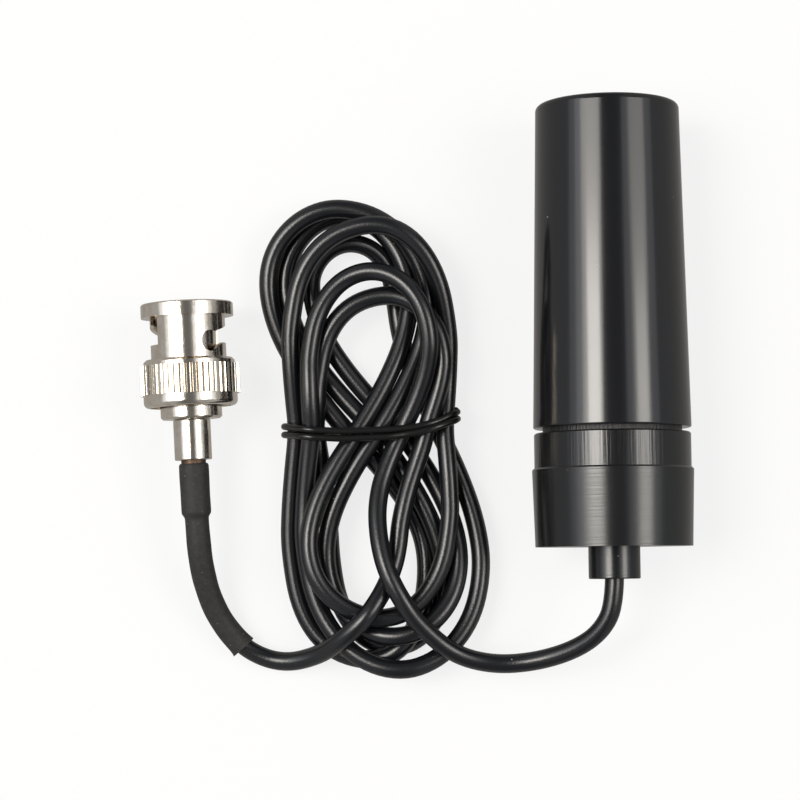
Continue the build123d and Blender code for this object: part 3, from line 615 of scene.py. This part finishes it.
@dataclass(frozen=True)
class Cord:
    """The coaxial cord from the cable boss through the hank to the plug."""

    diameter: float = 2.75 * MM
    length: float = 0.943
    exit: tuple = (0.0, -0.0342, 0.01197)
    tie_line: float = -12.2
    steps: int = 7
    round_steps: int = 4
    order: int = 3
    probe_tail: tuple = (
        (0.0, -31.988, 11.913), (0.0, -37.586, 12.067), (-1.9, -41.6, 11.1), (-5.6, -44.3, 9.1),
        (-11.2, -46.1, 6.8), (-17.4, -46.5, 6.1), (-23.2, -44.8, 7.2))
    into_hank: tuple = (
        (-27.9, -40.5, 9.2), (-29.9, -37.7, 10.2), (-31.6, -34.7, 10.4), (-32.8, -31.8, 10.1),
        (-33.5, -28.7, 9.4), (-33.8, -25.5, 8.5), (-33.7, -22.9, 7.7), (-33.2, -20.2, 6.9),
        (-32.2, -17.3, 6.3), (-31.0, -14.5, 5.9))
    bights: tuple = (
        Bight(-30.0, (-26.1, 0.5), (-34.5, 10.7), (-43.2, -1.3), -43.2,
              (6.0, 6.8, 7.9, 9.0, 9.3, 8.6, 7.7, 6.9, 6.8, 7.1, 7.5, 7.4)),
        Bight(-43.2, (-44.2, -29.2), (-30.8, -47.0), (-18.9, -32.7), -24.8,
              (6.4, 5.2, 4.2, 3.9, 3.9, 5.1, 6.1, 5.1, 4.0, 3.2, 2.8, 2.6)),
        Bight(-24.8, (-31.2, 7.8), (-37.3, 15.3), (-43.3, 8.8), -30.4,
              (2.4, 1.9, 1.6, 1.4, 1.4, 2.2, 3.1, 3.2, 2.9, 2.4, 2.2, 2.3), square=(0.95, 1.0)),
        Bight(-30.4, (-22.0, -31.5), (-31.7, -42.3), (-41.3, -30.6), -33.3,
              (2.4, 2.4, 2.9, 4.0, 5.2, 6.4, 6.3, 4.7, 3.9, 4.1, 4.6, 5.1)),
        Bight(-33.3, (-26.3, 6.6), (-39.2, 20.2), (-49.5, 9.5), -38.4,
              (5.2, 4.7, 4.0, 4.0, 4.6, 4.8, 4.6, 4.2, 3.5, 3.0, 2.6, 2.2)),
        Bight(-38.4, (-26.7, -31.6), (-35.2, -45.7), (-46.4, -29.5), -45.4,
              (2.4, 1.8, 1.4, 1.7, 3.1, 4.3, 2.8, 1.8, 1.4, 1.5, 2.0, 2.6), square=(0.9, 0.9)),
        Bight(-45.4, (-45.9, 2.7), (-33.6, 17.5), (-23.4, 1.9), -23.9,
              (3.4, 4.2, 5.0, 5.3, 5.9, 6.6, 7.3, 7.4, 6.2, 4.5, 3.9, 4.1), square=(0.9, 1.0)),
        Bight(-23.9, (-23.5, -25.5), (-33.0, -39.5), (-43.7, -29.3), -36.4,
              (4.9, 5.5, 5.7, 5.7, 5.7, 6.0, 6.7, 6.9, 7.1, 6.9, 6.6, 6.3)),
        Bight(-36.4, (-28.9, 7.3), (-38.5, 19.4), (-47.1, 9.1), -34.2,
              (5.7, 5.0, 4.2, 3.4, 2.7, 2.3, 1.7, 1.5, 1.4, 1.4, 1.4, 1.6)),
        Bight(-34.2, (-24.1, -34.3), (-31.8, -44.0), (-40.4, -31.9), -42.8,
              (2.5, 3.3, 3.3, 2.7, 1.8, 1.4, 1.4, 1.4, 1.4, 1.4, 1.7, 2.2)),
        Bight(-42.8, (-42.1, -5.7), (-32.1, 7.2), (-24.1, -1.7), -26.5,
              (3.2, 4.3, 4.9, 5.0, 5.1, 5.5, 5.9, 6.4, 6.8, 6.8, 6.6, 6.4), (1.0, 0.8),
              (0.9, 1.0)),
    )
    out_of_hank: tuple = (
        (-26.5, -12.2, 6.2), (-27.1, -14.6, 6.0), (-28.1, -17.5, 6.0), (-29.1, -20.4, 6.2),
        (-29.9, -23.3, 6.5), (-30.5, -26.1, 6.6), (-30.8, -29.0, 6.7), (-31.4, -31.9, 7.0),
        (-32.6, -34.8, 7.8), (-34.0, -37.2, 9.0), (-35.9, -39.8, 9.6), (-39.0, -42.5, 8.4))
    plug_tail: tuple = (
        (-42.5, -45.0, 4.6), (-47.9, -46.3, 2.2), (-53.2, -44.3, 1.9), (-56.9, -40.0, 2.7),
        (-59.0, -34.6, 4.7), (-59.883, -27.524, 7.25), (-60.342, -15.733, 7.25))

    def control_points(self) -> np.ndarray:
        """Joins the tails and the bights.

        Returns:
            All control points of the cord's spline, in metres.
        """
        turns = [bight.points(self.tie_line) for bight in self.bights]
        parts = [self.probe_tail, self.into_hank, *turns, self.out_of_hank, self.plug_tail]
        return np.vstack([np.array(part, float) for part in parts]) * MM

    def build(self, shop: Shop) -> bpy.types.Object:
        """Makes the cord as one open spline.

        Args:
            shop: gives the jacket's finish.

        Returns:
            The cord's curve object.
        """
        points = self.control_points()
        data = bpy.data.curves.new("signal_cord", "CURVE")
        data.dimensions = "3D"
        data.resolution_u = self.steps
        data.render_resolution_u = self.steps
        data.bevel_depth = self.diameter / 2
        data.bevel_resolution = self.round_steps
        data.use_fill_caps = True
        spline = data.splines.new("NURBS")
        spline.points.add(len(points) - 1)
        spline.points.foreach_set("co", np.c_[points, np.ones(len(points))].ravel())
        spline.order_u = self.order
        spline.use_endpoint_u = True
        cord = bpy.data.objects.new("signal_cord", data)
        bpy.context.scene.collection.objects.link(cord)
        shop.dress(cord, "cord_jacket")
        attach(cord, "electrode")
        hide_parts("probe_cord", "cord_hank", "plug_cord")
        return cord

    def centreline(self, cord: bpy.types.Object) -> np.ndarray:
        """Points of the cord's own line.

        Args:
            cord: the curve object.

        Returns:
            Points in metres from the boss to the plug.
        """
        data = cord.data.copy()
        data.bevel_depth = 0.0
        bare = bpy.data.objects.new("line", data)
        mesh = bpy.data.meshes.new_from_object(bare)
        points = np.zeros(len(mesh.vertices) * 3)
        mesh.vertices.foreach_get("co", points)
        bpy.data.meshes.remove(mesh)
        bpy.data.objects.remove(bare)
        return points.reshape(-1, 3)


@dataclass(frozen=True)
class ShrunkSleeve:
    """The shrunk tube over the crimp and the cord behind the plug."""

    thick_radius: float = 2.15 * MM
    thin_radius: float = 1.75 * MM
    bore_radius: float = 1.40 * MM
    thick_length: float = 7.5 * MM
    slope_length: float = 0.55 * MM
    end_place: tuple = (-53.74, -43.96, 2.4)
    lip: float = 0.42 * MM
    lip_length: float = 0.8 * MM
    slant: float = 0.28 * MM
    wave: float = 0.025 * MM
    wave_turns: tuple = (0.9, 0.37)
    wave_lag: float = 1.0
    rounding: float = 0.15 * MM
    ferrule_gap: float = 0.35 * MM
    floor_gap: float = 0.02 * MM
    tail_share: int = 6
    fine_step: float = 0.1 * MM
    row_step: float = 0.3 * MM
    sides: int = 48

    SLOPE_STEEPNESS = 5

    def build(self, line: np.ndarray, ferrule_end: float, shop: Shop) -> bpy.types.Object:
        """Makes the sleeve round the cord's line.

        The outside steps smoothly from thick to thin. Slow waves in the radius stand for uneven
        shrinking. At the cut end outside and bore stand off the cord on the outer side of the
        bend, by the square of the cosine of the angle there, and the cut slants by its cosine.

        Args:
            line: the cord's points from boss to plug.
            ferrule_end: y of the rear end of the ferrule.
            shop: gives the finish.

        Returns:
            The sleeve.
        """
        tail = resample(line[-len(line) // self.tail_share:][::-1], self.fine_step)
        near = np.linalg.norm(tail - np.array(self.end_place) * MM, axis=1).argmin()
        behind = np.nonzero(tail[:, 1] < ferrule_end - self.ferrule_gap)[0][0]
        path = resample(tail[behind:near + 1], self.row_step)
        run = np.r_[0.0, np.cumsum(np.linalg.norm(np.diff(path, axis=0), axis=1))][:, None]
        slope = self.slope_length / self.SLOPE_STEEPNESS
        thin = 1 / (1 + np.exp(-(run - self.thick_length) / slope))
        outside = self.thick_radius + (self.thin_radius - self.thick_radius) * thin
        quick, slow = (run / MM * turns for turns in self.wave_turns)
        outside = outside + self.wave * np.sin(quick) * np.sin(slow + self.wave_lag)
        outside[0] -= self.rounding
        angle = np.linspace(0.0, 2 * np.pi, self.sides, endpoint=False)[None, :]
        close = np.exp(-(run[-1] - run) / self.lip_length)
        lift = self.lip * close * np.clip(np.cos(angle), 0, 1) ** 2
        shift = self.slant * close * -np.cos(angle)
        along = (path[-1] - path[-2]) / np.linalg.norm(path[-1] - path[-2])
        outer = swept(path, outside + lift, (0, 0, 1), self.sides)
        inner = swept(path, self.bore_radius + lift, (0, 0, 1), self.sides)
        outer, inner = (wall + shift[:, :, None] * along for wall in (outer, inner))
        grid = np.vstack([outer, inner[::-1]])
        grid[..., 2] = np.maximum(grid[..., 2], self.floor_gap)
        sleeve = grid_piece("shrunk_sleeve", grid, closed_rows=True)
        shop.dress(sleeve, "shrink_tube")
        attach(sleeve, "electrode")
        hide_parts("shrink_sleeve")
        return sleeve


@dataclass(frozen=True)
class HankTie:
    """The thin black tie wound twice round the hank, and the small eye at its right end."""

    strand_radius: float = 0.5 * MM
    cord_radius: float = 2.75 / 2 * MM
    tie_line: float = -12.2 * MM
    upper: tuple = ((-47.0, -11.6), (-43.7, -12.25), (-38.6, -12.54), (-31.5, -12.33),
                    (-27.9, -12.0), (-24.9, -11.2), (-23.2, -10.4), (-22.0, -9.75))
    lower: tuple = ((-47.0, -12.8), (-43.7, -13.3), (-38.6, -13.6), (-31.5, -13.37),
                    (-27.9, -12.75), (-24.4, -11.6), (-22.0, -10.75))
    turns: float = 1.58
    floor_gap: float = 0.02 * MM
    sides: int = 16
    directions: int = 721
    step: float = 0.25 * MM
    smoothing: int = 9
    eye_place: tuple = (-22.2, -9.75)
    eye_size: tuple = (0.40 * MM, 0.52 * MM)
    eye_rim: float = 0.14 * MM
    eye_steps: int = 40

    def outline(self, line: np.ndarray) -> np.ndarray:
        """Closed line round the cord's strands in the plane of the tie.

        For each direction it takes the strand that reaches furthest, and goes one cord radius
        and one strand radius past its middle.

        Args:
            line: the cord's points.

        Returns:
            Points (x, z), counted from the right round over the top.
        """
        side = line[:, 1] - self.tie_line
        crossing = np.nonzero(side[:-1] * side[1:] < 0)[0]
        share = (side[crossing] / (side[crossing] - side[crossing + 1]))[:, None]
        middles = (line[crossing] * (1 - share) + line[crossing + 1] * share)[:, [0, 2]]
        angle = np.linspace(0.0, 2 * np.pi, self.directions)
        direction = np.stack([np.cos(angle), np.sin(angle)], -1)
        furthest = middles[(direction @ middles.T).argmax(1)]
        reach = self.cord_radius + self.strand_radius
        return resample(furthest + direction * reach, self.step)

    def route(self, round_once: np.ndarray) -> np.ndarray:
        """The strand's line.

        It goes over the top along the upper row, back underneath, over the top along the lower
        row, and ends underneath. y follows the two rows by x, and passes from one to the other
        in a smooth step over the second half of the first turn. Where the rows are closer than a
        strand's thickness, the second turn is lifted outwards by the other leg of the right
        triangle whose hypotenuse is that thickness.

        Args:
            round_once: the outline (x, z) of the strands.

        Returns:
            Points of the line.
        """
        turn = len(round_once) - 1
        both = np.vstack([round_once[:-1], round_once])[:int(turn * self.turns)]
        rows = [np.array(row) * MM for row in (self.upper, self.lower)]
        upper, lower = (np.interp(both[:, 0], row[:, 0], row[:, 1]) for row in rows)
        half = turn * 0.5
        late = np.clip((np.arange(len(both)) - half) / half, 0, 1)
        late = late * late * (3 - 2 * late)
        y = upper * (1 - late) + lower * late
        lift = np.sqrt(np.clip((2 * self.strand_radius) ** 2 - (upper - lower) ** 2, 0, None))
        lift[:turn] = 0.0
        outwards = both - round_once.mean(0)
        outwards /= np.linalg.norm(outwards, axis=1)[:, None]
        both = both + outwards * lift[:, None]
        height = np.maximum(both[:, 1], self.strand_radius + self.floor_gap)
        path = np.stack([both[:, 0], y, height], -1)
        kernel = np.ones(self.smoothing) / self.smoothing
        spare = self.smoothing // 2
        smooth = [np.convolve(np.pad(path[:, k], spare, mode="edge"), kernel, mode="valid")
                  for k in range(3)]
        return np.stack(smooth, -1)

    def eye(self, height: float) -> np.ndarray:
        """Grid of the small eye: a thin round rim carried round an ellipse.

        Args:
            height: z of its middle.

        Returns:
            Array of rows, columns and coordinates.
        """
        angle = np.linspace(0.0, 2 * np.pi, self.eye_steps, endpoint=False)
        middle = np.array([*self.eye_place, height / MM]) * MM
        rim = np.linspace(0.0, 2 * np.pi, self.sides, endpoint=False)[None, :, None]
        flat = np.stack([np.cos(angle), np.sin(angle), 0 * angle], -1)[:, None, :]
        size = np.array([*self.eye_size, 0.0]) + self.eye_rim * np.cos(rim)
        return middle + flat * size + np.array([0, 0, self.eye_rim]) * np.sin(rim)

    def build(self, line: np.ndarray, shop: Shop) -> list[bpy.types.Object]:
        """Makes the tie and its eye.

        Args:
            line: the cord's points.
            shop: gives the finish.

        Returns:
            The two pieces.
        """
        path = self.route(self.outline(line))
        grid = swept(path, np.full(len(path), self.strand_radius), (0, 1, 0), self.sides)
        tie = grid_piece("hank_tie", grid)
        eye = grid_piece("tie_eye", self.eye(path[0, 2] + self.strand_radius), closed_rows=True)
        for piece in (tie, eye):
            shop.dress(piece, "tie_rubber")
            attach(piece, "electrode")
        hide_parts("cable_tie")
        LOG.info("tie of %.1f mm", np.linalg.norm(np.diff(path, axis=0), axis=1).sum() / MM)
        return [tie, eye]


@dataclass(frozen=True)
class BowedSpring:
    """The bowed spring washer between the plug's flange and its thrust washer."""

    front: float = 11.825 * MM
    height: float = 1.45 * MM
    bow: float = 1.2 * MM
    thickness: float = 0.25 * MM
    bore_radius: float = 4.65 * MM
    outer_radius: float = 5.6 * MM
    draw: float = 0.8 * MM
    rows: int = 120

    def build(self, shop: Shop) -> bpy.types.Object:
        """Makes the spring.

        It is a flat ring bent over a cylinder across the plug: a point lies as far back as the
        bend's radius less the root of that radius squared less its x squared. The rear face does
        so with a radius smaller by the thickness, and is trimmed flat at the full height.

        Args:
            shop: gives the finish.

        Returns:
            The spring.
        """
        angle = np.linspace(0.0, 2 * np.pi, self.rows, endpoint=False)[:, None]
        radius = np.array([[self.bore_radius, self.outer_radius,
                            self.outer_radius, self.bore_radius]])
        behind = np.array([[0.0, 0.0, self.thickness, self.thickness]])
        bend = (self.outer_radius ** 2 + self.bow ** 2) / (2 * self.bow)
        x, z = radius * np.cos(angle), radius * np.sin(angle)
        back = np.minimum(bend - np.sqrt((bend - behind) ** 2 - x * x), self.height)
        turn = PLUG_TURN[2]
        right = np.array([math.cos(turn), math.sin(turn), 0.0])
        ahead = np.array([-math.sin(turn), math.cos(turn), 0.0])
        start = np.array(PLUG_CENTRE) - self.front * ahead
        grid = start + x[..., None] * right - back[..., None] * ahead
        grid = grid + z[..., None] * np.array([0.0, 0.0, 1.0])
        spring = grid_piece("spring_washer", grid, closed_rows=True)
        shop.dress(spring, "spring_steel")
        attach(spring, "electrode")
        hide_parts("bowed_spring")
        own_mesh(spring)
        return spring


@dataclass(frozen=True)
class WetSponge:
    """The open-celled sponge pressed into the bottom of the cap."""

    middle: tuple = (0.0, 0.0300165, 0.010399)
    radius: float = 8.35 * MM
    length: float = 4.55 * MM
    corner_power: float = 0.16
    columns: int = 168
    row_step: float = 0.2 * MM
    pits: int = 900
    pit_radii: tuple = (0.22 * MM, 0.5 * MM)
    pit_depth: float = 0.16 * MM
    fine_rows: int = 721
    seed: int = 5

    DEEPEST = 3
    TINY = 1e-9

    def build(self, shop: Shop) -> bpy.types.Object:
        """Makes the sponge.

        The section's radius is the cosine and its height the sine of an angle, each to a small
        power, which gives flat ends with a rounded rim. Pits sink towards the middle by the sum
        of Gaussians of the distance from scattered points of the surface, up to three depths.

        Args:
            shop: gives the finish.

        Returns:
            The sponge.
        """
        t = np.linspace(-np.pi / 2, np.pi / 2, self.fine_rows)
        out = self.radius * np.clip(np.cos(t), self.TINY, 1) ** self.corner_power
        high = self.length / 2 * np.sign(t) * np.abs(np.sin(t)) ** self.corner_power
        out, high = resample(np.stack([out, high], -1), self.row_step).T[:, :, None]
        angle = np.linspace(0.0, 2 * np.pi, self.columns, endpoint=False)[None, :]
        x, z = out * np.cos(angle), out * np.sin(angle)
        grid = np.stack([x, high + 0 * x, z], -1)
        rng = np.random.default_rng(self.seed)
        points = grid.reshape(-1, 3)
        spots = points[rng.integers(0, len(points), self.pits)]
        reach = rng.uniform(*self.pit_radii, self.pits)
        apart = np.linalg.norm(points[:, None, :] - spots[None], axis=2)
        sunk = self.pit_depth * np.exp(-(apart / reach) ** 2).sum(1)
        sunk = np.minimum(sunk, self.DEEPEST * self.pit_depth)
        points = points * (1 - sunk / np.linalg.norm(points, axis=1))[:, None]
        dip = PROBE_TURN[0]
        tilt = np.array([[1.0, 0.0, 0.0], [0.0, math.cos(dip), math.sin(dip)],
                         [0.0, -math.sin(dip), math.cos(dip)]])
        grid = (points @ tilt + np.array(self.middle)).reshape(grid.shape)
        sponge = grid_piece("wet_sponge", grid)
        shop.dress(sponge, "sponge")
        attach(sponge, "cap")
        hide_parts("storage_sponge")
        return sponge


@dataclass(frozen=True)
class CadParts:
    """The CAD nodes that keep their own shape, by the finish they get."""

    groups: tuple = (
        ("cap_plastic", ("storage_cap",)),
        ("barrel_plastic", ("electrode_barrel",)),
        ("collar_plastic", ("rear_collar",)),
        ("seal_rubber", ("cap_seal_ring", "stem_bung", "gel_seal")),
        ("gasket_rubber", ("face_gasket",)),
        ("glass", ("glass_bulb",)),
        ("gel", ("reference_gel",)),
        ("porous_white", ("reference_junction",)),
        ("potting", ("rear_potting",)),
        ("nickel_plate", ("coupling_sleeve", "plug_body", "crimp_ferrule", "thrust_washer")),
        ("spring_steel", ("retaining_ring",)),
        ("gold_plate", ("centre_pin",)),
        ("silver_wire", ("inner_wire", "reference_wire")),
        ("copper_braid", ("shield_braid",)),
        ("insulator_white", ("plug_insulator", "cord_core")),
    )

    def dress(self, shop: Shop) -> None:
        """Puts its finish on each node.

        Args:
            shop: gives the finishes.
        """
        for slot, names in self.groups:
            for name in names:
                shop.dress(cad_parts[name], slot)
                LOG.info("%s dressed as %s", name, slot)


@dataclass(frozen=True)
class Panel:
    """One flat lamp of the studio, seen from the object under a range of angles in degrees.

    across is counted from straight up to the right, and along from straight up to the back.
    """

    name: str
    across: tuple
    along: tuple
    radiance: float
    colour: tuple = WHITE
    distance: float = 1.2

    def build(self) -> None:
        """Makes the lamp facing the object, its power being radiance times area times pi."""
        turn, lean = (math.radians(sum(span) / 2) for span in (self.across, self.along))
        wide, deep = (math.radians(span[1] - span[0]) for span in (self.across, self.along))
        data = bpy.data.lights.new(self.name, "AREA")
        data.shape = "RECTANGLE"
        data.size, data.size_y = self.distance * wide, self.distance * deep
        data.energy = self.radiance * data.size * data.size_y * math.pi
        data.color = self.colour
        lamp = bpy.data.objects.new(self.name, data)
        spin = Matrix.Rotation(turn, 4, "Y") @ Matrix.Rotation(-lean, 4, "X")
        lamp.matrix_world = spin @ Matrix.Translation((0.0, 0.0, self.distance))
        bpy.context.scene.collection.objects.link(lamp)


WARM = (1.0, 0.962, 0.905)
COOL = (0.93, 0.955, 1.0)


@dataclass(frozen=True)
class Studio:
    """Camera, lamps, surroundings and floor."""

    camera_place: tuple = (-0.030325, -0.024692, 0.350)
    tilt: float = math.radians(2.78)
    roll: float = math.radians(-0.617)
    lens: float = 106.5
    sensor: float = 36.0
    clip: tuple = (0.01, 10.0)
    side_light: float = 0.42
    top_light: float = 0.15
    top_span: tuple = (0.01, 0.16)
    sky_tint: tuple = (0.98, 0.985, 1.0)
    floor_reflected: float = 0.40
    floor_tint: tuple = (1.0, 0.97, 0.93)
    floor_colour: tuple = (0.82, 0.82, 0.82)
    floor_white_share: float = 0.80
    floor_size: float = 6.0
    panels: tuple = (
        Panel("key_core", (-39, -20), (-1, 12), 9.0, WARM),
        Panel("key_field", (-47, -16), (-13, 23), 4.5, WARM),
        Panel("key_edge", (-57, -47), (-18, 30), 1.7, COOL),
        Panel("key_fade", (-68, -57), (-18, 30), 0.6, COOL),
        Panel("side_core", (33, 50), (-6, 10), 4.5, WARM),
        Panel("side_field", (28, 54), (-16, 20), 2.6, WARM),
        Panel("side_edge", (17, 28), (-16, 26), 0.7, COOL),
        Panel("side_fade", (54, 67), (-16, 26), 0.6, COOL),
    )

    def build(self) -> None:
        """Makes everything that isn't the object."""
        self.camera()
        self.world()
        self.floor()
        for panel in self.panels:
            panel.build()
        bpy.context.scene.view_settings.view_transform = "Standard"

    def camera(self) -> None:
        """Sets the camera where the photograph was taken from."""
        data = bpy.data.cameras.new("camera")
        data.lens = self.lens
        data.sensor_width = self.sensor
        data.sensor_fit = "HORIZONTAL"
        data.clip_start, data.clip_end = self.clip
        ahead = Vector((0.0, math.sin(self.tilt), -math.cos(self.tilt)))
        above = Vector((0.0, math.cos(self.tilt), math.sin(self.tilt)))
        level = Vector((1.0, 0.0, 0.0))
        right = math.cos(self.roll) * level + math.sin(self.roll) * above
        up = math.cos(self.roll) * above - math.sin(self.roll) * level
        camera = bpy.data.objects.new("camera", data)
        turn = Matrix((right, up, -ahead)).transposed().to_4x4()
        camera.matrix_world = Matrix.Translation(self.camera_place) @ turn
        bpy.context.scene.collection.objects.link(camera)
        bpy.context.scene.camera = camera

    def world(self) -> None:
        """Plain surroundings: white to the camera, and dim to the object, most so above it."""
        world = bpy.data.worlds.new("studio")
        bpy.context.scene.world = world
        bench = Bench(world)
        direction = bench.node("ShaderNodeTexCoord", output="Generated")
        across = bench.node("ShaderNodeSeparateXYZ", None, {0: direction}, 0)
        aside = (across * across).step(*self.top_span, self.top_light, self.side_light)
        dim = bench.node("ShaderNodeBackground", None, {"Color": self.sky_tint, "Strength": aside})
        white = bench.node("ShaderNodeBackground", None, {"Color": WHITE, "Strength": 1.0})
        seen = bench.node("ShaderNodeLightPath", output="Is Camera Ray")
        bench.finish(bench.node("ShaderNodeMixShader", None, {0: seen, 1: dim, 2: white}),
                     "ShaderNodeOutputWorld")

    def floor(self) -> None:
        """White floor that keeps a soft shadow, with a plain grey in reflections."""
        bench = Bench(bpy.data.materials.new("floor_white"))
        rays = {kind: bench.node("ShaderNodeLightPath", output=kind)
                for kind in ("Is Camera Ray", "Is Glossy Ray", "Is Transmission Ray")}
        lit = bench.node("ShaderNodeBsdfDiffuse", None, {"Color": self.floor_colour})
        white = bench.node("ShaderNodeEmission", None, {"Color": WHITE, "Strength": 1.0})
        grey = bench.node("ShaderNodeEmission", None,
                          {"Color": self.floor_tint, "Strength": self.floor_reflected})
        seen = bench.node("ShaderNodeMixShader", None,
                          {0: rays["Is Camera Ray"] * self.floor_white_share, 1: lit, 2: white})
        reflected = rays["Is Glossy Ray"] + rays["Is Transmission Ray"]
        bench.finish(bench.node("ShaderNodeMixShader", None, {0: reflected, 1: seen, 2: grey}))
        half = self.floor_size / 2
        corners = [(-half, -half, 0), (half, -half, 0), (half, half, 0), (-half, half, 0)]
        mesh = bpy.data.meshes.new("floor")
        mesh.from_pydata(corners, [], [(0, 1, 2, 3)])
        mesh.materials.append(bench.owner)
        floor = bpy.data.objects.new("floor", mesh)
        bpy.context.scene.collection.objects.link(floor)


def main() -> None:
    """Builds the studio and the object."""
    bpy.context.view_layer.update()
    shop = Shop()
    Studio().build()
    LOG.info("studio built")
    cord = Cord()
    cord_piece = cord.build(shop)
    line = cord.centreline(cord_piece)
    length = float(np.linalg.norm(np.diff(line, axis=0), axis=1).sum())
    LOG.info("cord of %.4f m in %d points", length, len(line))
    sleeve = ShrunkSleeve().build(line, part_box("crimp_ferrule")[0].y, shop)
    LOG.info("sleeve built")
    ties = HankTie().build(line, shop)
    spring = BowedSpring().build(shop)
    WetSponge().build(shop)
    LOG.info("spring and sponge built")
    CadParts().dress(shop)


if __name__ == "__main__":
    logging.basicConfig(level=logging.INFO)
    main()
